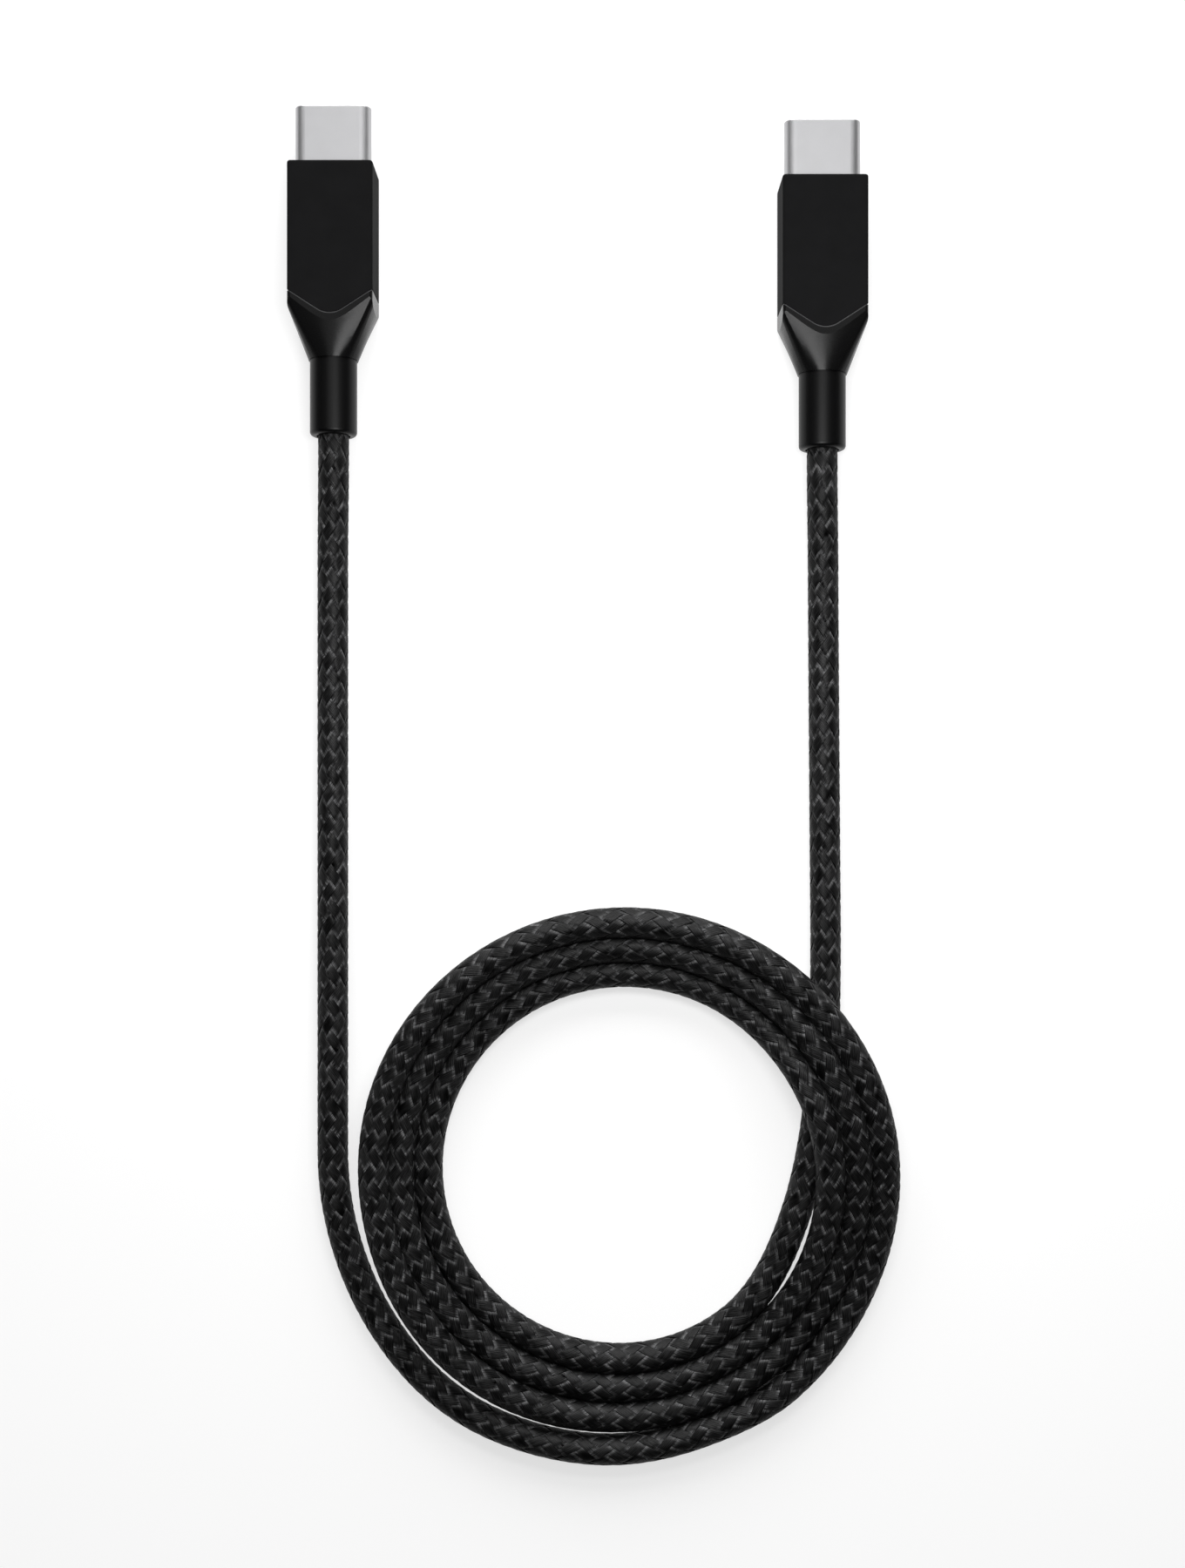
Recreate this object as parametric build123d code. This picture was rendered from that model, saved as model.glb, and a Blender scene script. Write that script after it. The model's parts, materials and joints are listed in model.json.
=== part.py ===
"""A charging cable: two identical reversible plugs on one braided cord, lying flat and coiled.

Row frame, in millimetres: +Z is up and the surface it lies on is z = 0. +Y points the way the
plugs' noses point. The origin is on that surface, at the middle of the two plugs' box. Each plug
is built about its own axis, with y = 0 at the front face of its cover, and is then set in place.
"""
from build123d import *
import math
import os

# Cover: the rectangular front casing of a plug.
COVER_W = 9.2
COVER_T = 6.5
COVER_EDGE_R = 0.4
COVER_FRONT_R = 0.25
COVER_FRONT_WALL = 1.0
COVER_SIDE_WALL = 0.42
COVER_TOP_WALL = 0.85
# The line where the cover ends is a shallow V with a round point, the same above and below.
V_SIDE_Y = -13.8
V_SLOPE = 0.646
V_POINT_R = 2.5
V_GAP = 0.18
V_DEPTH = 0.10
V_LEDGE = 0.40

# Shell: the standard stadium-shaped metal nose.
SHELL_W = 8.25
SHELL_T = 2.40
SHELL_OUT = 6.6
SHELL_IN = 3.0
SHELL_WALL = 0.25
SHELL_RIM_R = 0.12

# Tail: tapers from the cover's rectangle to a round end.
TAIL_END_Y = -20.9
TAIL_END_R = 2.68
TAIL_SIDE_SLOPE = 0.385
TAIL_TOP_SLOPE = 0.154
TAIL_SIDE_START_Y = -16.0
TAIL_TOP_START_Y = -17.2
TAIL_LOFT_Y = -13.0
TAIL_DOME = 0.50
TAIL_CORNER_R = 0.5
TAIL_END_FACE_DEG = 66
COLLAR_FRONT_Y = -12.6
COLLAR_BACK_Y = -16.4
COLLAR_WALL = 0.6

# Boot: the plain round strain relief.
BOOT_R = 2.55
BOOT_END_Y = -29.1
BOOT_BORE_R = 1.85
BOOT_RIM_R = 0.45

# Cord.
CORD_D = 3.37
CORD_Z = 0.5 * CORD_D + 0.015
CORD_TAPER_D = 3.3
CABLE_END_Y = -15.4
CRIMP_WALL = 0.3
CRIMP_LONG = 2.8

# Insides of the nose.
FIT = 0.03
SLOT_W = 6.7
SLOT_T = 0.80
INSULATOR_BACK_Y = -1.5
INSULATOR_FRONT_Y = SHELL_OUT - 0.35
CONTACT_PITCH = 0.5
CONTACT_W = 0.25
CONTACT_T = 0.13
UPPER_CONTACTS = (1, 4, 5, 6, 7, 9, 12)
LOWER_CONTACTS = (1, 4, 5, 9, 12)
BOARD_T = 0.5
BOARD_W = 6.6
BOARD_FRONT_Y = -1.8
BOARD_BACK_Y = -9.2
CAN_W = 8.1
CAN_T = 4.4
CAN_WALL = 0.2
CAN_FRONT_Y = -3.1
CAN_BACK_Y = -11.6

# Wires: name, radius, side of the board, place across the board, angle round the cord's core.
WIRES = (
    ("vbus", 0.50, 1, -2.3, 150),
    ("d_plus", 0.30, 1, -0.5, 88),
    ("d_minus", 0.30, 1, 0.6, 38),
    ("ground", 0.50, -1, 1.8, -35),
    ("cc", 0.30, -1, -1.4, -125),
)
WIRE_CORE_R = 0.95
WIRE_PAD_Y = -7.4

# Where each plug stands: its axis across and the front face of its cover.
PLUGS = {"plug_a": (-26.6, 12.0), "plug_b": (26.6, 10.5)}
AXIS_Z = 0.5 * COVER_T

# The leads, from where they reach the surface to inside the coil, chosen by hand.
LEAD_A_ROUTE = [
    (-26.9, -33.1),
    (-26.9, -101.4),
    (-22.5, -113.2),
    (-14.4, -122.5),
    (-4.0, -127.4),
    (7.2, -128.3),
]
LEAD_B_ROUTE = [
    (26.9, -34.6),
    (27.2, -74.0),
    (26.8, -85.0),
    (25.1, -97.2),
    (22.5, -106.3),
]
# Behind each boot the cord comes down to its lead, level at both ends, and bends with the plug.
FLEX_LEVEL = 4.0

# Coil: an Archimedean spiral whose turns stand further apart at -Y than at +Y.
COIL_CENTRE = (4.7, -97.5)
COIL_TOP_R = 21.95
COIL_PITCH = 3.0
COIL_SKEW = 0.21
COIL_FIRST_DEG = 0
COIL_LAST_DEG = 1170
COIL_STEP_DEG = 15
# Its solid is one strand thick at -Y, where the turns lie side by side, and thicker where they lean
# on each other. It is two strands thick at +X, where they ride over the lead.
COIL_FLAT_T = 3.5
COIL_LEANING_T = 6.1
COIL_CROSSING_T = 7.0
COIL_FLAT_Y = (-120.0, -106.0)
COIL_CROSSING_X = (10.0, 24.0)


def across(y):
    """The plane across a plug's axis at y, with its normal towards the nose."""
    return Plane(origin=(0, y, 0), x_dir=(1, 0, 0), z_dir=(0, 1, 0))


def prism(outline, back_y, front_y):
    """An outline drawn across the axis, made solid from back_y to front_y."""
    return extrude(across(back_y) * outline, amount=front_y - back_y)


def rod(radius, back_y, front_y):
    return prism(Circle(radius), back_y, front_y)


def v_line(shift):
    """The V where the cover ends, moved along the axis by shift, wider than the cover."""
    reach = COVER_W
    side_y = V_SIDE_Y + V_SLOPE * (reach - 0.5 * COVER_W) + shift
    point_y = side_y - V_SLOPE * reach
    return FilletPolyline((-reach, side_y), (0, point_y), (reach, side_y), radius=V_POINT_R)


def v_block(shift, towards_y):
    """Everything between the V and towards_y, thicker than the cover."""
    line = v_line(shift)
    start, end = line @ 0, line @ 1
    border = Polyline(start, (start.X, towards_y), (end.X, towards_y), end)
    face = make_face([line, border])
    return extrude(face, amount=COVER_T, both=True)


def casing_block(back_y, front_y):
    return prism(RectangleRounded(COVER_W, COVER_T, COVER_EDGE_R), back_y, front_y)


def shell():
    """The nose: a seamless stadium tube with a rounded front rim."""
    outer = prism(SlotOverall(SHELL_W, SHELL_T), -SHELL_IN, SHELL_OUT)
    outer = fillet(outer.faces().sort_by(Axis.Y)[-1].edges(), SHELL_RIM_R)
    inner = SlotOverall(SHELL_W - 2 * SHELL_WALL, SHELL_T - 2 * SHELL_WALL)
    return outer - prism(inner, -SHELL_IN, SHELL_OUT)


def insulator():
    """The plastic lining of the nose, open right through for the socket's tongue."""
    wide = SHELL_W - 2 * SHELL_WALL - 2 * FIT
    thick = SHELL_T - 2 * SHELL_WALL - 2 * FIT
    body = prism(SlotOverall(wide, thick), INSULATOR_BACK_Y, INSULATOR_FRONT_Y)
    body -= prism(RectangleRounded(SLOT_W, SLOT_T, 0.15), INSULATOR_BACK_Y, INSULATOR_FRONT_Y)
    for spring in ground_springs():
        body -= spring
    return body


def ground_springs():
    """Two thin plates let into the lining, above and below the slot."""
    spring_w, spring_t, spring_long = 5.2, 0.12, 1.3
    top_z = 0.5 * SHELL_T - SHELL_WALL - FIT
    middle = INSULATOR_FRONT_Y - 0.6 - 0.5 * spring_long
    plate = Box(spring_w, spring_long, spring_t)
    return [Pos(0, middle, side * (top_z - 0.5 * spring_t)) * plate for side in (1, -1)]


def contact(side, number):
    """One sprung contact: a strip from its solder tail to a tip that bows towards the tongue."""
    tail_y, knee_y, tip_y, end_y = -3.4, 3.9, 4.7, 5.5
    low, bow = 0.5 * BOARD_T, 0.13
    lower = [(tail_y, low), (knee_y, low), (tip_y, low - bow), (end_y, low)]
    upper = [(y, z + CONTACT_T) for y, z in reversed(lower)]
    outline = Polyline(*[(0, y, side * z) for y, z in lower + upper], close=True)
    strip = extrude(make_face(outline), amount=0.5 * CONTACT_W, both=True)
    return Pos(side * (number - 6.5) * CONTACT_PITCH, 0, 0) * strip


def latch():
    """The mid-plate between the contact rows, with a hooked arm down each side of the slot."""
    arm_t, arm_h, arm_front_y = 0.2, 0.5, 4.8
    arm_x = 0.5 * SLOT_W - 0.5 * arm_t - FIT
    plate = Pos(0, -0.2, 0) * Box(2 * arm_x, 1.6, 0.16)
    for side in (-1, 1):
        arm_long = arm_front_y + 1.0
        plate += Pos(side * arm_x, arm_front_y - 0.5 * arm_long, 0) * Box(arm_t, arm_long, arm_h)
        plate += Pos(side * (arm_x - 0.1), arm_front_y - 0.3, 0) * Box(arm_t, 0.6, arm_h)
    return plate


def board():
    long = BOARD_FRONT_Y - BOARD_BACK_Y
    return Pos(0, 0.5 * (BOARD_FRONT_Y + BOARD_BACK_Y), 0) * Box(BOARD_W, long, BOARD_T)


def capacitor():
    long, wide, high = 1.0, 0.5, 0.5
    return Pos(1.9, -5.2, 0.5 * BOARD_T + 0.5 * high) * Box(wide, long, high)


def wire(radius, side, pad_x, core_deg):
    """One insulated wire, from its pad on the board to the cord's core."""
    core = math.radians(core_deg)
    pad_z = side * (0.5 * BOARD_T + radius)
    core_x, core_z = WIRE_CORE_R * math.cos(core), WIRE_CORE_R * math.sin(core)
    route = [
        (pad_x, WIRE_PAD_Y, pad_z),
        (pad_x, BOARD_BACK_Y - 0.6, pad_z),
        (core_x, CABLE_END_Y + 1.6, core_z),
        (core_x, CABLE_END_Y, core_z),
    ]
    path = FilletPolyline(*route, radius=1.6)
    return sweep(Plane(origin=path @ 0, z_dir=path % 0) * Circle(radius), path)


def shield_can(side):
    """One of the two stamped covers that close round the board."""
    ring = RectangleRounded(CAN_W, CAN_T, 0.3)
    ring -= RectangleRounded(CAN_W - 2 * CAN_WALL, CAN_T - 2 * CAN_WALL, 0.12)
    can = prism(ring, CAN_BACK_Y, CAN_FRONT_Y)
    half = Box(2 * CAN_W, 60, CAN_T)
    return can - Pos(0, 0, -side * (0.5 * CAN_T - 0.01)) * half


def crimp():
    """The ring that clamps the cord's shield and jacket."""
    back = CABLE_END_Y - 0.3 - CRIMP_LONG
    inner = 0.5 * CORD_TAPER_D + FIT
    return rod(inner + CRIMP_WALL, back, back + CRIMP_LONG) - rod(inner, back, back + CRIMP_LONG)


def cable_end():
    """The end of the cord that the plug holds."""
    return rod(0.5 * CORD_TAPER_D, BOOT_END_Y, CABLE_END_Y)


def cover():
    """The front casing: a sleeve, closed at the nose round the shell and ending in the V."""
    rear_y = V_SIDE_Y - V_SLOPE * COVER_W
    body = casing_block(rear_y, 0)
    body = fillet(body.faces().sort_by(Axis.Y)[-1].edges(), COVER_FRONT_R)
    cavity_w, cavity_t = COVER_W - 2 * COVER_SIDE_WALL, COVER_T - 2 * COVER_TOP_WALL
    body -= prism(RectangleRounded(cavity_w, cavity_t, 0.3), rear_y, -COVER_FRONT_WALL)
    body -= prism(SlotOverall(SHELL_W + 2 * FIT, SHELL_T + 2 * FIT), -COVER_FRONT_WALL, 0)
    return body & v_block(0, COVER_T)


def tail_end():
    """The tail's round end, cut into a wide arc for each face and a narrow one for each corner."""
    corner_deg = 90 - TAIL_END_FACE_DEG
    arcs, start_deg = [], 90 - 0.5 * TAIL_END_FACE_DEG
    for _ in range(4):
        arcs.append(CenterArc((0, 0), TAIL_END_R, start_deg, TAIL_END_FACE_DEG))
        arcs.append(CenterArc((0, 0), TAIL_END_R, start_deg + TAIL_END_FACE_DEG, corner_deg))
        start_deg += 90
    return make_face(arcs)


def tail_taper():
    """The tapering part alone: its flat top runs out along a curve, because the loft is domed."""
    half_w = 0.5 * COVER_W + TAIL_SIDE_SLOPE * (TAIL_LOFT_Y - TAIL_SIDE_START_Y)
    top_z = 0.5 * COVER_T + TAIL_TOP_SLOPE * (TAIL_LOFT_Y - TAIL_TOP_START_Y)
    side_z = top_z - TAIL_DOME
    upper = ThreePointArc((half_w, side_z), (0, top_z), (-half_w, side_z))
    lower = ThreePointArc((-half_w, -side_z), (0, -top_z), (half_w, -side_z))
    left = Line((-half_w, side_z), (-half_w, -side_z))
    right = Line((half_w, -side_z), (half_w, side_z))
    front = make_face([upper, left, lower, right])
    front = fillet(front.vertices(), TAIL_CORNER_R)
    taper = loft([across(TAIL_END_Y) * tail_end(), across(TAIL_LOFT_Y) * front], ruled=True)
    return taper & casing_block(TAIL_END_Y, TAIL_LOFT_Y) & v_block(-V_GAP, TAIL_END_Y - 1)


def tail_ledge():
    """The floor of the groove between the cover and the tail, following the V."""
    corner_r = COVER_EDGE_R - V_DEPTH
    outline = RectangleRounded(COVER_W - 2 * V_DEPTH, COVER_T - 2 * V_DEPTH, corner_r)
    block = prism(outline, TAIL_END_Y, COLLAR_FRONT_Y)
    return block & v_block(-FIT, TAIL_END_Y) - v_block(-V_LEDGE, TAIL_END_Y - 1)


def tail():
    """The tapered rear casing, with a collar that fits inside the cover."""
    collar_w = COVER_W - 2 * COVER_SIDE_WALL - 2 * FIT
    collar_t = COVER_T - 2 * COVER_TOP_WALL - 2 * FIT
    body = tail_taper() + tail_ledge()
    body += prism(RectangleRounded(collar_w, collar_t, 0.27), COLLAR_BACK_Y, COLLAR_FRONT_Y)
    room_w, room_t = collar_w - 2 * COLLAR_WALL, collar_t - 2 * COLLAR_WALL
    body -= prism(RectangleRounded(room_w, room_t, 0.2), CABLE_END_Y, COLLAR_FRONT_Y)
    crimp_r = 0.5 * CORD_TAPER_D + 2 * FIT + CRIMP_WALL
    body -= rod(crimp_r, CABLE_END_Y - 0.4 - CRIMP_LONG, CABLE_END_Y)
    return body - rod(BOOT_BORE_R, TAIL_END_Y, CABLE_END_Y)


def boot():
    """The strain relief: a plain round sleeve with a rounded mouth."""
    body = rod(BOOT_R, BOOT_END_Y, TAIL_END_Y)
    body -= rod(BOOT_BORE_R, BOOT_END_Y, TAIL_END_Y)
    mouth = body.edges().filter_by(GeomType.CIRCLE).group_by(Axis.Y)[0]
    outer = mouth.sort_by(lambda e: e.radius)[-1]
    return fillet(outer, BOOT_RIM_R)


def plug_pieces():
    """Every piece of one plug, by name, about the plug's own axis."""
    pieces = {
        "shell": shell(),
        "insulator": insulator(),
        "contacts_upper": [contact(1, n) for n in UPPER_CONTACTS],
        "contacts_lower": [contact(-1, n) for n in LOWER_CONTACTS],
        "latch": latch(),
        "ground_springs": ground_springs(),
        "board": board(),
        "capacitor": capacitor(),
        "shield_can_upper": shield_can(1),
        "shield_can_lower": shield_can(-1),
        "crimp": crimp(),
        "cable_end": cable_end(),
        "cover": cover(),
        "tail": tail(),
        "boot": boot(),
    }
    for name, radius, side, pad_x, core_deg in WIRES:
        pieces["wire_" + name] = wire(radius, side, pad_x, core_deg)
    return pieces


def arc_radii(points):
    """The largest tangent arcs that a route's corners take: 0.45 of the shorter run each side."""
    radii = []
    for before, corner, after in zip(points, points[1:], points[2:]):
        run_in, run_out = corner - before, after - corner
        turn = math.radians(run_in.get_angle(run_out))
        radii.append(0.45 * min(run_in.length, run_out.length) / math.tan(0.5 * turn))
    return radii


def cord_tube(name, points):
    """A plain tube of the cord's thickness along straight runs joined by tangent arcs."""
    points = [Vector(*p) for p in points]
    radii = arc_radii(points)
    path = FilletPolyline(*points, radius=radii)
    section = Plane(origin=path @ 0, z_dir=path % 0) * Circle(0.5 * CORD_D)
    tube = sweep(section, path)
    expected = math.pi * (0.5 * CORD_D) ** 2 * path.length
    shown = ", ".join(f"{r:.1f}" for r in radii)
    print(f"{name}: {path.length:.1f} mm long, arc radii {shown}, volume {tube.volume / expected:.4f} of it")
    return tube


def flex_route(plug, lead_route):
    """Level out of the boot, down to the surface, and level again to the start of the lead."""
    axis_x, front_y = PLUGS[plug]
    start_y = front_y + BOOT_END_Y
    end_x, end_y = lead_route[0]
    return [
        (axis_x, start_y, AXIS_Z),
        (axis_x, start_y - FLEX_LEVEL, AXIS_Z),
        (end_x, end_y + FLEX_LEVEL, CORD_Z),
        (end_x, end_y, CORD_Z),
    ]


def coil_radius(degrees):
    """The distance of the strand's middle from the coil's centre, by the angle wound so far."""
    turns = (degrees - 270) / 360
    return COIL_TOP_R + turns * (COIL_PITCH + COIL_SKEW * math.sin(math.radians(degrees)))


def coil_point(degrees):
    """The strand's middle in plan, winding from +X towards -Y."""
    angle, radius = math.radians(degrees), coil_radius(degrees)
    return (
        COIL_CENTRE[0] + radius * math.cos(angle),
        COIL_CENTRE[1] - radius * math.sin(angle),
    )


def coil_length():
    angles = range(COIL_FIRST_DEG, COIL_LAST_DEG + 1, COIL_STEP_DEG)
    turns = [coil_point(a) for a in angles]
    return sum(math.dist(a, b) for a, b in zip(turns, turns[1:]))


def ring_circle(first_deg, side):
    """The circle that fits one turn from first_deg on, moved out by side times half a strand."""
    turn = [coil_point(first_deg + quarter) for quarter in (0, 90, 180, 270)]
    left, right = min(x for x, y in turn), max(x for x, y in turn)
    low, high = min(y for x, y in turn), max(y for x, y in turn)
    radius = 0.25 * (right - left + high - low) + side * 0.5 * CORD_D
    return Pos(0.5 * (left + right), 0.5 * (low + high)) * Circle(radius)


def ramp(plane, start, end, low, high):
    """Everything under a top that rises from low to high, between start and end along the plane's x."""
    near, far = start - 3 * COIL_TOP_R, end + 3 * COIL_TOP_R
    top = [(far, high), (end, high), (start, low), (near, low)]
    face = make_face(plane * Polyline((near, 0), (far, 0), *top, close=True))
    return extrude(face, amount=6 * COIL_TOP_R, both=True)


def coil():
    """The coil's outer shape: a ring whose top follows how high its turns lie."""
    ring = ring_circle(COIL_LAST_DEG - 270, 1) - ring_circle(COIL_FIRST_DEG, -1)
    body = extrude(ring, amount=COIL_CROSSING_T)
    body &= ramp(Plane.XZ, *COIL_CROSSING_X, COIL_LEANING_T, COIL_CROSSING_T)
    return body & ramp(Plane.YZ, *COIL_FLAT_Y, COIL_FLAT_T, COIL_CROSSING_T)


def cord_pieces():
    """The cord's own solids: a bending stretch and a lead at each plug, and the coil."""
    routes = {
        "lead_a_flex": flex_route("plug_a", LEAD_A_ROUTE),
        "lead_b_flex": flex_route("plug_b", LEAD_B_ROUTE),
        "lead_a": [(x, y, CORD_Z) for x, y in LEAD_A_ROUTE],
        "lead_b": [(x, y, CORD_Z) for x, y in LEAD_B_ROUTE],
    }
    pieces = {name: cord_tube(name, route) for name, route in routes.items()}
    pieces["coil"] = coil()
    print(f"coil: {coil_length():.0f} mm of cord in its turns")
    return pieces


def write(name, piece):
    """One STEP file for a node, whether it is one solid or a group of separate ones."""
    solids = piece if isinstance(piece, list) else [piece]
    group = Compound([solid for shape in solids for solid in shape.solids()])
    group.label = name
    export_step(group, f"parts/{name}.step")


def main():
    os.makedirs("parts", exist_ok=True)
    for plug, (axis_x, front_y) in PLUGS.items():
        place = Pos(axis_x, front_y, AXIS_Z)
        for name, piece in plug_pieces().items():
            shapes = piece if isinstance(piece, list) else [piece]
            write(f"{plug}_{name}", [place * shape for shape in shapes])
    for name, piece in cord_pieces().items():
        write(name, piece)


main()
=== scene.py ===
import json
import math

import bpy
import numpy as np
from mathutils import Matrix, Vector


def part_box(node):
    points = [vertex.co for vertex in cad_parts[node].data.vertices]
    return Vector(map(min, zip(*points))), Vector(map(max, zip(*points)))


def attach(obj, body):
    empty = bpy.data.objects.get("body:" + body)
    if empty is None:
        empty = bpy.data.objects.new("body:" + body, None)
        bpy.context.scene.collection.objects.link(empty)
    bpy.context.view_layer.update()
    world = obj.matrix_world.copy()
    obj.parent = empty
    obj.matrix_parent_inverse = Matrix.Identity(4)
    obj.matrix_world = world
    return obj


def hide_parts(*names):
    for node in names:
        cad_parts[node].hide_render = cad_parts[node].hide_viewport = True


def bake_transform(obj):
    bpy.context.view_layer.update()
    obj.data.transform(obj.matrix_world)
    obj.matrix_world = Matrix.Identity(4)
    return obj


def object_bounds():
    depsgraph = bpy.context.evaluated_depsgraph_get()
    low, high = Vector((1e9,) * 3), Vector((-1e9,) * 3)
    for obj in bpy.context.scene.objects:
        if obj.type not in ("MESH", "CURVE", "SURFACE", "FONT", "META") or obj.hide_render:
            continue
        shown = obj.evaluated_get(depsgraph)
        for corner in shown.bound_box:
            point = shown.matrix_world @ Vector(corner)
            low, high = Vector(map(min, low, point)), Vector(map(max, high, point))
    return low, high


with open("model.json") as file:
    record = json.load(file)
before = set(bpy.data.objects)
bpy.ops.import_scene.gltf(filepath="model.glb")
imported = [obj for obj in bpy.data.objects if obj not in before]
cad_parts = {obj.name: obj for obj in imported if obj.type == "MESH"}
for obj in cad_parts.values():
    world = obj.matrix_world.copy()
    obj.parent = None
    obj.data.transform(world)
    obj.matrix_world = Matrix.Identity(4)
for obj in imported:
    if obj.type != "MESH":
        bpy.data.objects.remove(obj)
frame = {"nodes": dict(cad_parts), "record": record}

MM = 0.001
cad_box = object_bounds()

# The camera, over the middle of the CAD's box but for a small shift.
CAMERA_LENS = 42.16
CAMERA_SHIFT_X = -0.55 * MM
CAMERA_SHIFT_Y = 0.75 * MM
CAMERA_HEIGHT = 203.25 * MM

# The cord's route in plan, in metres, as in the CAD: from where each flexing stretch ends to the
# coil. The second point of each is an extra one on its straight run, near the corner that follows,
# and some in the bends are moved by up to 0.4 mm, because the spline cuts inside its corners.
LEAD_A_ROUTE = [
    (-0.0269, -0.0331),
    (-0.0269, -0.0888),
    (-0.0269, -0.1014),
    (-0.0226, -0.1133),
    (-0.0146, -0.1228),
    (-0.0040, -0.1275),
    (0.0072, -0.1283),
]
LEAD_B_ROUTE = [
    (0.0269, -0.0346),
    (0.0271, -0.0630),
    (0.0272, -0.0740),
    (0.0270, -0.0850),
    (0.0255, -0.0972),
    (0.0225, -0.1063),
]
# A flexing stretch is level for this far at both ends. Its pieces reach a little past its end, so
# that they meet the main stretch's where nothing moves.
FLEX_LEVEL = 4.0 * MM
PAST_FLEX = 0.5 * MM

# The coil: the CAD's spiral, from where one lead reaches it to where the other leaves it. At a few
# places a turn stands off from the spiral: the angle wound, how wide the bulge is in degrees, and
# how far out it goes.
COIL_CENTRE = Vector((0.0047, -0.0975))
COIL_TOP_R = 21.95 * MM
COIL_PITCH = 3.0 * MM
COIL_SKEW = 0.21 * MM
COIL_FIRST_DEG = 45
COIL_LAST_DEG = 1140
COIL_STEP_DEG = 15
COIL_LOOSE = [
    (60, 40, 0.28 * MM),
    (400, 22, 0.35 * MM),
    (884, 30, -0.50 * MM),
    (1150, 22, 0.50 * MM),
]
# Where each turn passes over the lead, and how far before and after that its hump reaches.
CROSSINGS_DEG = (342, 691, 1043)
HUMP_BEFORE_DEG = 42
HUMP_AFTER_DEG = 72
# Each turn but the innermost leans on the one inside it and stands higher than that one by LEAN.
# It starts to rise, is up, and is down again at these angles from its crossing.
LEAN_START_DEG = -245
LEAN_FULL_DEG = -165
LEAN_GONE_DEG = 45
LEAN = 1.3 * MM

# The cord's make-up: a core under a braid of flat yarns, two over and two under. YARNS wind each
# way, once round in YARN_LEAD. CORD_LOW is the height of the cord's middle where it lies flat.
CORD_D = 3.37 * MM
CORD_LOW = 0.5 * CORD_D + 0.015 * MM
CORE_R = 1.38 * MM
CORE_SIDES = 16
CORE_STEP = 0.8 * MM
YARNS = 8
YARN_LEAD = 14.4 * MM
# A yarn rises and sinks by YARN_RISE. YARN_STEEP is how sharply it goes from one to the other, and
# YARN_SINK keeps it a little longer below than above.
YARN_RISE = 0.105 * MM
YARN_STEEP = 3.1
YARN_SINK = 0.12
# The ridges of filaments across a yarn.
FILAMENTS = 6
FILAMENT_RISE = 0.012 * MM
# Where a yarn bends down to pass under another it gets a painted highlight, paler than the rest. Its
# height there, from 1 at its top to
# 0 where it dives, says where that painted highlight starts and is full. The rest of the yarn has a
# part of that tone.
YARN_AND_HIGHLIGHT_COLOUR = (0.135, 0.135, 0.138)
HIGHLIGHT_STARTS = 0.58
HIGHLIGHT_FULL = 0.08
HIGHLIGHT_TONE = 1.6
BODY_TONE = 0.065
CROSSING = 0.5 * YARN_LEAD / YARNS
# Where a yarn's rings stand between two dives, in crossings from the first dive's middle.
RING_PLACES = (-0.32, -0.18, -0.06, 0.06, 0.18, 0.32, 0.64, 1.36)
# One yarn's outline: place across from -1 to 1, and depth below its crest.
YARN_OUTLINE = [
    (-1.00, 0.022 * MM),
    (-0.90, 0.003 * MM),
    (-0.40, 0.0),
    (0.40, 0.0),
    (0.90, 0.003 * MM),
    (1.00, 0.022 * MM),
    (0.99, 0.130 * MM),
    (-0.99, 0.130 * MM),
]
CREST_R = 0.5 * CORD_D - YARN_RISE
LINE_STEP = 0.2 * MM
YARNS_PER_PIECE = 4

# The casing's long edges, and the groove between the cover and the tail, as in the CAD. A face is
# the groove's floor if it is within the margin of that depth and hardly slopes along Y.
EDGE_R = 0.4 * MM
GROOVE_DEPTH = 0.1 * MM
GROOVE_MARGIN = 0.02 * MM
LEVEL_SLOPE = 0.02

# The floor, from its middle to each side in metres, its own light, and the room's even light.
FLOOR_REACH = 3.0
FLOOR_GLOW = 0.66
ROOM_GLOW = 0.04


# ---------------------------------------------------------------- camera
def make_camera():
    """Straight above the cable, with the plugs towards the top of the picture."""
    low, high = cad_box
    middle = 0.5 * (low + high)
    data = bpy.data.cameras.new("camera")
    data.lens = CAMERA_LENS
    data.clip_start = 0.01
    camera = bpy.data.objects.new("camera", data)
    camera.location = (middle.x + CAMERA_SHIFT_X, middle.y + CAMERA_SHIFT_Y, CAMERA_HEIGHT)
    bpy.context.scene.collection.objects.link(camera)
    bpy.context.scene.camera = camera


# ---------------------------------------------------------------- the cord's line
def ease(x, start, end):
    """From 0 at start to 1 at end, level at both."""
    t = min(max((x - start) / (end - start), 0.0), 1.0)
    return t * t * (3 - 2 * t)


def coil_radius(degrees):
    turns = (degrees - 270) / 360
    radius = COIL_TOP_R + turns * (COIL_PITCH + COIL_SKEW * math.sin(math.radians(degrees)))
    for middle, width, shift in COIL_LOOSE:
        radius += shift * math.exp(-(((degrees - middle) / width) ** 2))
    return radius


def coil_height(degrees):
    """Each turn lies flat at -Y, then leans on the turn inside it, and humps over the lead at +X."""
    height = CORD_LOW
    for turn, crossing in enumerate(CROSSINGS_DEG):
        past = degrees - crossing
        if LEAN_START_DEG < past < HUMP_AFTER_DEG:
            hump = ease(past, -HUMP_BEFORE_DEG, 0) * ease(past, HUMP_AFTER_DEG, 0)
            lean = ease(past, LEAN_START_DEG, LEAN_FULL_DEG) * ease(past, LEAN_GONE_DEG, 0)
            lift = LEAN * turn * lean
            height = CORD_LOW + lift + hump * max(CORD_D - lift, 0.0)
    return height


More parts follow.
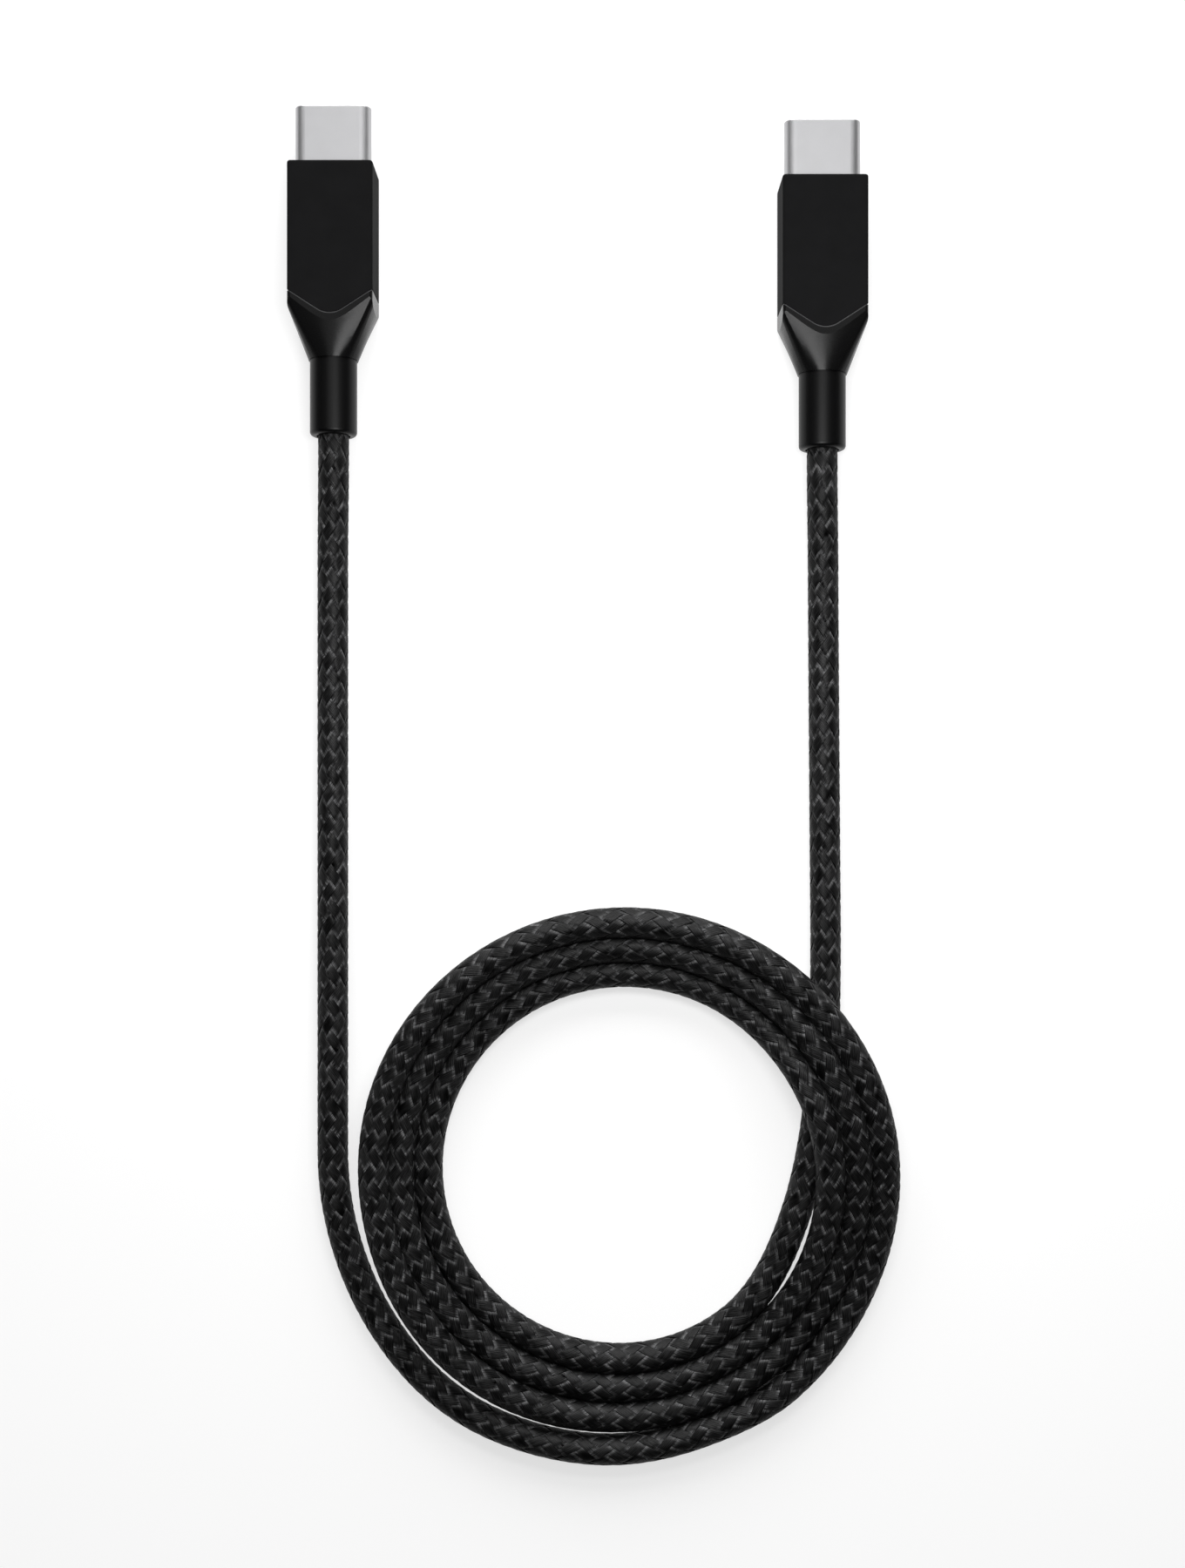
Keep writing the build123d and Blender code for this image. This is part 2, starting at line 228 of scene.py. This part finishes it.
def coil_points():
    """Control points of the coil's turns, from the outside in. They stand a little outside the
    strand's middle, because the spline cuts inside its corners."""
    outside = 1 / math.cos(math.radians(0.5 * COIL_STEP_DEG))
    points = []
    for degrees in range(COIL_LAST_DEG, COIL_FIRST_DEG - 1, -COIL_STEP_DEG):
        angle, radius = math.radians(degrees), outside * coil_radius(degrees)
        x = COIL_CENTRE.x + radius * math.cos(angle)
        y = COIL_CENTRE.y - radius * math.sin(angle)
        points.append((x, y, coil_height(degrees)))
    return points


def boot_mouth(plug):
    """Where the cord comes out of a plug's boot."""
    low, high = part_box(plug + "_boot")
    return 0.5 * (low.x + high.x), low.y, 0.5 * (low.z + high.z)


def plug_end_points(plug, lead_route):
    """From the crimp out of the boot, level, then down to the surface and level again."""
    cable_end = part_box(plug + "_cable_end")[1].y
    x, mouth, z = boot_mouth(plug)
    lead_x, lead_y = lead_route[0]
    return [
        (x, cable_end, z),
        (x, mouth, z),
        (x, mouth - FLEX_LEVEL, z),
        (lead_x, lead_y + FLEX_LEVEL, CORD_LOW),
    ]


def route():
    """Every control point of the cord, from one crimp to the other."""
    points = plug_end_points("plug_a", LEAD_A_ROUTE)
    points += [(x, y, CORD_LOW) for x, y in LEAD_A_ROUTE]
    points += coil_points()
    points += [(x, y, CORD_LOW) for x, y in reversed(LEAD_B_ROUTE)]
    return points + plug_end_points("plug_b", LEAD_B_ROUTE)[::-1]


def spline_points(control_points):
    """The points of a smooth NURBS spline with those control points."""
    curve = bpy.data.curves.new("cord_route", "CURVE")
    curve.dimensions = "3D"
    spline = curve.splines.new("NURBS")
    spline.points.add(len(control_points) - 1)
    for point, place in zip(spline.points, control_points):
        point.co = (*place, 1.0)
    spline.order_u = 3
    spline.use_endpoint_u = True
    spline.resolution_u = 16
    line_object = bpy.data.objects.new("cord_route", curve)
    bpy.context.scene.collection.objects.link(line_object)
    graph = bpy.context.evaluated_depsgraph_get()
    mesh = bpy.data.meshes.new_from_object(line_object.evaluated_get(graph))
    points = np.array([vertex.co for vertex in mesh.vertices])
    bpy.data.meshes.remove(mesh)
    bpy.data.objects.remove(line_object)
    bpy.data.curves.remove(curve)
    return points


class Line:
    """A line in space, with the directions across and above it, read by the length along it."""

    def __init__(self, points):
        steps = np.linalg.norm(np.diff(points, axis=0), axis=1)
        lengths = np.concatenate([[0], np.cumsum(steps)])
        self.length = lengths[-1]
        self.along = np.linspace(0, self.length, int(self.length / LINE_STEP) + 1)
        self.points = np.stack([np.interp(self.along, lengths, axis) for axis in points.T], axis=1)
        ahead = np.gradient(self.points, axis=0)
        ahead /= np.linalg.norm(ahead, axis=1, keepdims=True)
        side = np.cross(ahead, (0, 0, 1))
        side /= np.linalg.norm(side, axis=1, keepdims=True)
        self.ahead, self.side, self.up = ahead, side, np.cross(side, ahead)

    def read(self, values, along):
        return np.stack([np.interp(along, self.along, axis) for axis in values.T], axis=-1)

    def place(self, along, angle, radius):
        """Points at an angle round the line and a distance off, running straight on past its ends."""
        past = along - np.clip(along, 0, self.length)
        centre = self.read(self.points, along) + past[..., None] * self.read(self.ahead, along)
        across = np.cos(angle)[..., None] * self.read(self.side, along)
        above = np.sin(angle)[..., None] * self.read(self.up, along)
        return centre + radius[..., None] * (across + above)


# ---------------------------------------------------------------- meshes
def new_object(name, mesh, material):
    mesh.materials.append(material)
    made = bpy.data.objects.new(name, mesh)
    bpy.context.scene.collection.objects.link(made)
    return made


def tube_faces(rings, sides, first):
    """Quads round a tube of rings, each a row of vertex numbers, and its two end faces."""
    numbers = first + np.arange(rings * sides).reshape(rings, sides)
    onward = np.roll(numbers, -1, axis=1)
    quads = np.stack([numbers[:-1], numbers[1:], onward[1:], onward[:-1]], axis=-1)
    return quads.reshape(-1, 4), [numbers[0], numbers[-1][::-1]]


def tubes_mesh(name, tubes, charts=None):
    """One mesh of closed tubes, each an array of rings of points, with a chart of UVs for each."""
    vertices, quads, ends, first = [], [], [], 0
    for rings in tubes:
        tube_quads, tube_ends = tube_faces(rings.shape[0], rings.shape[1], first)
        vertices.append(rings.reshape(-1, 3))
        quads.append(tube_quads)
        ends += tube_ends
        first += rings.shape[0] * rings.shape[1]
    vertices, quads = np.concatenate(vertices), np.concatenate(quads)
    corners = np.concatenate([quads.reshape(-1), *ends]).astype(np.int32)
    counts = np.array([4] * len(quads) + [len(end) for end in ends], np.int32)
    starts = np.concatenate([[0], np.cumsum(counts)[:-1]]).astype(np.int32)
    mesh = bpy.data.meshes.new(name)
    mesh.vertices.add(len(vertices))
    mesh.vertices.foreach_set("co", vertices.astype(np.float32).ravel())
    mesh.loops.add(len(corners))
    mesh.loops.foreach_set("vertex_index", corners)
    mesh.polygons.add(len(counts))
    mesh.polygons.foreach_set("loop_start", starts)
    mesh.polygons.foreach_set("use_smooth", np.ones(len(counts), bool))
    mesh.update(calc_edges=True)
    if charts:
        chart = np.concatenate([one.reshape(-1, 2) for one in charts])
        layer = mesh.uv_layers.new(name="yarn")
        layer.data.foreach_set("uv", chart[corners].astype(np.float32).ravel())
    mesh.validate()
    return mesh


# ---------------------------------------------------------------- the braid
def float_height(phase, way):
    """1 where a yarn passes over and -1 where it passes under, changing every two crossings."""
    swing = way * np.cos(0.5 * math.pi * (phase - 0.5))
    return np.tanh(YARN_STEEP * (swing - YARN_SINK))


def ring_phases(start, end):
    """Where a yarn's rings stand between two lengths along the line, counted in crossings."""
    first, last = start / CROSSING, end / CROSSING
    dives = 2 * np.arange(int(first / 2) - 1, int(last / 2) + 2) - 0.5
    phases = (dives[:, None] + np.array(RING_PLACES)[None, :]).ravel()
    return np.concatenate([[first], phases[(phases > first) & (phases < last)], [last]])


def yarn(line, way, number, start, end):
    """The rings of one yarn between two lengths along the line, and its chart. way is 1 or -1, the
    way that it winds. Each ring runs along the yarn that it crosses, so it is a slanted one."""
    phase = ring_phases(start, end)[:, None]
    across = np.array([place for place, depth in YARN_OUTLINE])[None, :]
    depth = np.array([depth for place, depth in YARN_OUTLINE])[None, :]
    turn = across * math.pi / YARNS
    along = CROSSING * (phase - way * turn * YARNS / (2 * math.pi))
    angle = 2 * math.pi * (way * along / YARN_LEAD + number / YARNS) + turn
    radius = CREST_R + YARN_RISE * float_height(phase, way) - depth
    rings_of_points = line.place(along, angle, radius)
    band = 2 * (number + (way > 0) * YARNS)
    chart = np.stack(np.broadcast_arrays(phase, band + 0.5 + 0.5 * across), axis=-1)
    return rings_of_points, chart


def core(line, start, end):
    """The rings of the round core under the yarns."""
    count = int((end - start) / CORE_STEP) + 1
    along = np.linspace(start, end, count)[:, None]
    angle = np.linspace(0, 2 * math.pi, CORE_SIDES, endpoint=False)[None, :]
    along, angle = np.broadcast_arrays(along, angle)
    return line.place(along, angle, np.full(along.shape, CORE_R))


def yarns_piece(name, line, ways_and_numbers, start, end, material):
    made = [yarn(line, way, number, start, end) for way, number in ways_and_numbers]
    mesh = tubes_mesh(name, [rings for rings, chart in made], [chart for rings, chart in made])
    return new_object(name, mesh, material)


def core_piece(name, line, start, end, material):
    return new_object(name, tubes_mesh(name, [core(line, start, end)]), material)


# ---------------------------------------------------------------- materials
SOCKETS = {"metallic": "Metallic", "specular": "Specular IOR Level", "anisotropy": "Anisotropic"}


class Surface:
    """A material being made: its shader, and short ways to add nodes to it."""

    def __init__(self, name, colour, roughness, **sockets):
        self.material = bpy.data.materials.new(name)
        self.material.use_nodes = True
        self.tree = self.material.node_tree
        self.shader = self.tree.nodes["Principled BSDF"]
        self.shader.inputs["Base Color"].default_value = (*colour, 1)
        self.shader.inputs["Roughness"].default_value = roughness
        for socket, value in sockets.items():
            self.shader.inputs[SOCKETS[socket]].default_value = value

    def node(self, kind, **values):
        """A new node. Values that are outputs are linked, and others are set. An input is given by
        its name, or by its number, as in i0."""
        made = self.tree.nodes.new("ShaderNode" + kind)
        for name, value in values.items():
            if hasattr(made, name):
                setattr(made, name, value)
                continue
            key = int(name[1:]) if name[1:].isdigit() else name.replace("_", " ")
            if isinstance(value, bpy.types.NodeSocket):
                self.tree.links.new(value, made.inputs[key])
            else:
                made.inputs[key].default_value = value
        return made

    def math(self, operation, first, second=0.0, third=0.0):
        return self.node("Math", operation=operation, i0=first, i1=second, i2=third).outputs[0]

    def noise(self, scale, detail=2.0, stretch=(1, 1, 1), where=None):
        """Noise from 0 to 1. scale is in waves per metre of the object, or per unit of a chart."""
        place = where or self.node("TexCoord").outputs["Object"]
        mapping = self.node("Mapping", Vector=place, Scale=stretch)
        made = self.node("TexNoise", Vector=mapping.outputs[0], Scale=scale, Detail=detail)
        return made.outputs["Fac"]

    def shade(self, dark, light, amount):
        """The base colour runs from dark to light by amount."""
        ramp = self.node("MapRange", Value=amount)
        mix = self.node("Mix", data_type="RGBA", blend_type="MIX")
        self.tree.links.new(ramp.outputs[0], mix.inputs[0])
        mix.inputs[6].default_value = (*dark, 1)
        mix.inputs[7].default_value = (*light, 1)
        self.tree.links.new(mix.outputs[2], self.shader.inputs["Base Color"])

    def gloss(self, low, high, amount):
        """The roughness runs from low to high by amount."""
        ramp = self.node("MapRange", Value=amount)
        ramp.inputs["To Min"].default_value = low
        ramp.inputs["To Max"].default_value = high
        self.tree.links.new(ramp.outputs[0], self.shader.inputs["Roughness"])

    def bump(self, height, distance):
        made = self.node("Bump", Height=height, Distance=distance, Strength=1.0)
        self.tree.links.new(made.outputs[0], self.shader.inputs["Normal"])


def scaled(colour, factor):
    return tuple(channel * factor for channel in colour)


def braid_material():
    """Black yarns of fine straight filaments, which show as lines along each yarn. In its chart U
    counts crossings along the cord, and each yarn has a band of V, one unit wide. Where a yarn bends
    down to pass under another it is painted paler: a painted highlight for the light that its spread
    filaments catch there."""
    surface = Surface("braid", (0.01, 0.01, 0.01), 0.36, specular=0.14, anisotropy=0.75)
    surface.shader.inputs["Anisotropic Rotation"].default_value = 0.25
    chart = surface.node("UVMap", uv_map="yarn").outputs[0]
    crossings, across, _ = surface.node("SeparateXYZ", Vector=chart).outputs
    wave = surface.math("SINE", surface.math("MULTIPLY", across, 2 * math.pi * FILAMENTS))
    ridge = surface.node("MapRange", Value=wave, From_Min=-1.0).outputs[0]
    streaks = surface.noise(1.0, 3.0, stretch=(0.9, 11.0, 1.0), where=chart)
    streaks = surface.node("MapRange", Value=streaks, From_Min=0.35, From_Max=0.68).outputs[0]
    patches = surface.noise(1.0, 2.0, stretch=(0.45, 0.8, 1.0), where=chart)
    patches = surface.node("MapRange", Value=patches, From_Min=0.3, From_Max=0.7).outputs[0]
    phase = surface.math("MULTIPLY_ADD", crossings, 0.5 * math.pi, -0.25 * math.pi)
    level = surface.math("ABSOLUTE", surface.math("COSINE", phase))
    # Painted highlight: the mask of where a yarn bends down to dive, full at the dive.
    bend_highlight = surface.node("MapRange", Value=level, From_Min=HIGHLIGHT_STARTS, From_Max=HIGHLIGHT_FULL).outputs[0]
    ridges = surface.math("POWER", surface.math("ADD", streaks, ridge), 2.0)
    weave = surface.math("MULTIPLY", ridges, patches)
    plain = surface.math("MULTIPLY", weave, BODY_TONE)
    # The painted highlight at the bends, broken up by the streaks and patches, added to the yarn's
    # own tone.
    painted_highlight = surface.math("MULTIPLY", surface.math("MULTIPLY", bend_highlight, streaks), patches)
    tone = surface.math("MULTIPLY_ADD", painted_highlight, HIGHLIGHT_TONE, plain)
    surface.shade((0.001, 0.001, 0.001), YARN_AND_HIGHLIGHT_COLOUR, tone)
    surface.gloss(0.28, 0.55, streaks)
    surface.bump(surface.math("ADD", ridge, streaks), FILAMENT_RISE)
    tangent = surface.node("Tangent", direction_type="UV_MAP", uv_map="yarn")
    surface.tree.links.new(tangent.outputs[0], surface.shader.inputs["Tangent"])
    return surface.material


def core_material():
    """The dark sleeve that shows between the yarns."""
    surface = Surface("core", (0.006, 0.006, 0.006), 0.8)
    mottle = surface.noise(900.0)
    surface.shade((0.004, 0.004, 0.004), (0.009, 0.009, 0.009), mottle)
    surface.gloss(0.7, 0.9, mottle)
    return surface.material


def grained(name, colour, roughness, grain, depth, spread=0.15, **sockets):
    """A moulded or rolled surface: grain as fine bump, and slight changes in tone and gloss."""
    surface = Surface(name, colour, roughness, **sockets)
    fine = surface.noise(grain, 2.0)
    broad = surface.noise(0.06 * grain, 3.0)
    surface.shade(scaled(colour, 1 - spread), scaled(colour, 1 + spread), broad)
    surface.gloss(roughness - 0.06, roughness + 0.06, fine)
    surface.bump(fine, depth)
    return surface.material


# The finish of every CAD slot but the braid: colour, roughness, grain in waves per metre, the
# grain's depth, and other settings.
FINISHES = {
    "nose_metal": ((0.49, 0.49, 0.50), 0.42, 9000, 0.002 * MM, {"spread": 0.04, "metallic": 1.0}),
    "nose_lining": ((0.018, 0.018, 0.018), 0.45, 7000, 0.004 * MM, {}),
    "contact_gold": ((0.80, 0.60, 0.26), 0.25, 9000, 0.001 * MM, {"metallic": 1.0}),
    "spring_steel": ((0.58, 0.58, 0.60), 0.28, 9000, 0.001 * MM, {"metallic": 1.0}),
    "board_green": ((0.02, 0.15, 0.06), 0.35, 4000, 0.004 * MM, {}),
    "capacitor_ceramic": ((0.40, 0.27, 0.16), 0.5, 8000, 0.004 * MM, {}),
    "can_steel": ((0.55, 0.55, 0.56), 0.35, 6000, 0.002 * MM, {"metallic": 1.0}),
    "crimp_brass": ((0.66, 0.50, 0.24), 0.3, 6000, 0.003 * MM, {"metallic": 1.0}),
    "cover_plastic": ((0.0078, 0.0078, 0.0081), 0.5, 9000, 0.003 * MM, {"specular": 0.006}),
    "tail_plastic": ((0.0038, 0.0038, 0.0039), 0.26, 9000, 0.002 * MM, {"specular": 0.12}),
    "boot_rubber": ((0.0010, 0.0010, 0.0011), 0.36, 9000, 0.003 * MM, {"specular": 0.17}),
    "wire_red": ((0.42, 0.02, 0.012), 0.4, 5000, 0.004 * MM, {}),
    "wire_green": ((0.02, 0.24, 0.05), 0.4, 5000, 0.004 * MM, {}),
    "wire_white": ((0.62, 0.61, 0.58), 0.4, 5000, 0.004 * MM, {}),
    "wire_black": ((0.015, 0.015, 0.015), 0.4, 5000, 0.004 * MM, {}),
    "wire_blue": ((0.015, 0.06, 0.30), 0.4, 5000, 0.004 * MM, {}),
}
# The floor of the groove behind the cover is painted paler, a painted highlight that shows as a pale
# line.
SEAM_HIGHLIGHT_FINISH = ((0.036, 0.036, 0.038), 0.5, 9000, 0.003 * MM)


def slot_materials():
    """The material of every CAD slot but the braid, whose nodes are all replaced by woven pieces."""
    made = {}
    for slot, (*finish, settings) in FINISHES.items():
        made[slot] = grained(slot, *finish, **settings)
    return made


def below_casing(point, box):
    """How far a point is below the casing's outer surface, which has rounded edges along Y."""
    middle, half = 0.5 * (box[0] + box[1]), 0.5 * (box[1] - box[0])
    x = abs(point.x - middle.x) - (half.x - EDGE_R)
    z = abs(point.z - middle.z) - (half.z - EDGE_R)
    return EDGE_R - math.hypot(max(x, 0), max(z, 0)) - min(max(x, z), 0)


def paint_seam_highlight(tail_name, seam_highlight):
    """The floor of the groove behind the cover is a paler face of the tail: a painted highlight along
    the groove.
    """
    node, box = frame["nodes"][tail_name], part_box(tail_name)
    node.data.materials.append(seam_highlight)
    turn = node.matrix_world.to_3x3()
    for polygon in node.data.polygons:
        centre = node.matrix_world @ polygon.center
        level = abs((turn @ polygon.normal).normalized().y) < LEVEL_SLOPE
        if level and abs(below_casing(centre, box) - GROOVE_DEPTH) < GROOVE_MARGIN:
            polygon.material_index = 1


def finish_nodes():
    """Every CAD node that still shows gets the finish of its slot."""
    finishes = slot_materials()
    # The painted highlight for each tail's groove floor.
    seam_highlight = grained("seam_highlight", *SEAM_HIGHLIGHT_FINISH)
    for part in frame["record"]["subparts"]:
        finish = finishes.get(part["material_slot"])
        if finish is not None:
            node = frame["nodes"][part["node"]]
            node.data.materials.clear()
            node.data.materials.append(finish)
    # Each tail's groove floor gets the painted highlight.
    for plug in ("plug_a", "plug_b"):
        paint_seam_highlight(plug + "_tail", seam_highlight)


# ---------------------------------------------------------------- the room
def make_floor():
    """A pale floor that glows a little, so that it comes out as white as in the photograph."""
    level, reach = cad_box[0].z, FLOOR_REACH
    corners = [
        (-reach, -reach, level),
        (reach, -reach, level),
        (reach, reach, level),
        (-reach, reach, level),
    ]
    mesh = bpy.data.meshes.new("floor")
    mesh.from_pydata(corners, [], [(0, 1, 2, 3)])
    surface = Surface("floor", (0.35, 0.35, 0.35), 0.6, specular=0.2)
    mottle = surface.noise(6.0, 3.0)
    surface.shade((0.34, 0.34, 0.34), (0.36, 0.36, 0.36), mottle)
    surface.gloss(0.55, 0.7, mottle)
    surface.shader.inputs["Emission Color"].default_value = (1, 1, 1, 1)
    surface.shader.inputs["Emission Strength"].default_value = FLOOR_GLOW
    new_object("floor", mesh, surface.material)


def make_lamp(name, place, aim, size, power):
    """A soft lamp at a place, turned to a point. The camera does not see it."""
    data = bpy.data.lights.new(name, "AREA")
    data.shape = "RECTANGLE"
    data.size, data.size_y = size
    data.energy = power
    lamp = bpy.data.objects.new(name, data)
    lamp.location = place
    lamp.visible_camera = False
    lamp.rotation_euler = (Vector(aim) - Vector(place)).to_track_quat("-Z", "Y").to_euler()
    bpy.context.scene.collection.objects.link(lamp)


def light_room():
    """A broad lamp beyond the plugs, one above, a small one low over the middle, and even light."""
    middle = 0.5 * (cad_box[0] + cad_box[1])
    centre = (middle.x, middle.y, 0)
    between_boots = (0.012, -0.02, 0.0)
    make_lamp("back_lamp", place=(0.0, 0.55, 0.30), aim=centre, size=(1.0, 0.40), power=8.6)
    make_lamp("top_lamp", place=(0.0, 0.03, 0.45), aim=centre, size=(0.34, 0.34), power=0.43)
    make_lamp(
        "middle_lamp", place=(0.012, -0.03, 0.11), aim=between_boots, size=(0.055, 0.03), power=0.08
    )
    world = bpy.data.worlds.new("room")
    world.use_nodes = True
    background = world.node_tree.nodes["Background"]
    background.inputs["Color"].default_value = (1, 1, 1, 1)
    background.inputs["Strength"].default_value = ROOM_GLOW
    bpy.context.scene.world = world
    bpy.context.scene.view_settings.view_transform = "Standard"


# ---------------------------------------------------------------- putting it together
def flex_end(line, lead_route):
    """The length along the line at which a lead's flexing stretch ends."""
    target = np.array((*lead_route[0], CORD_LOW))
    return line.along[np.argmin(np.linalg.norm(line.points - target, axis=1))]


def all_yarns():
    return [(way, number) for way in (1, -1) for number in range(YARNS)]


def main_pieces(line, start, end, braid, sleeve):
    """The cord's long main stretch: its yarns, a few in each piece, and its core."""
    yarns = all_yarns()
    groups = [yarns[i : i + YARNS_PER_PIECE] for i in range(0, len(yarns), YARNS_PER_PIECE)]
    pieces = [
        yarns_piece(f"cord_yarns_{i + 1}", line, group, start, end, braid)
        for i, group in enumerate(groups)
    ]
    pieces.append(core_piece("cord_core", line, start, end, sleeve))
    for piece in pieces:
        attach(piece, "cable")
    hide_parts("lead_a", "coil", "lead_b")
    return pieces


def flex_pieces(line, side, start, end, braid, sleeve):
    """The stretch of the cord that bends with one plug: its yarns and its core."""
    plug = "plug_" + side
    pieces = [
        yarns_piece(f"flex_{side}_yarns", line, all_yarns(), start, end, braid),
        core_piece(f"flex_{side}_core", line, start, end, sleeve),
    ]
    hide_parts(f"lead_{side}_flex", f"{plug}_cable_end")
    for piece in pieces:
        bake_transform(piece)
    return pieces


def make_cord(braid, sleeve):
    """The woven cord, in one rigid main stretch and a flexing one at each plug."""
    line = Line(spline_points(route()))
    lead_a = flex_end(line, LEAD_A_ROUTE) + PAST_FLEX
    lead_b = flex_end(line, LEAD_B_ROUTE) - PAST_FLEX
    main = main_pieces(line, lead_a, lead_b, braid, sleeve)
    flexes = flex_pieces(line, "a", 0.0, lead_a, braid, sleeve)
    flexes += flex_pieces(line, "b", lead_b, line.length, braid, sleeve)


make_camera()
make_cord(braid_material(), core_material())
finish_nodes()
make_floor()
light_room()
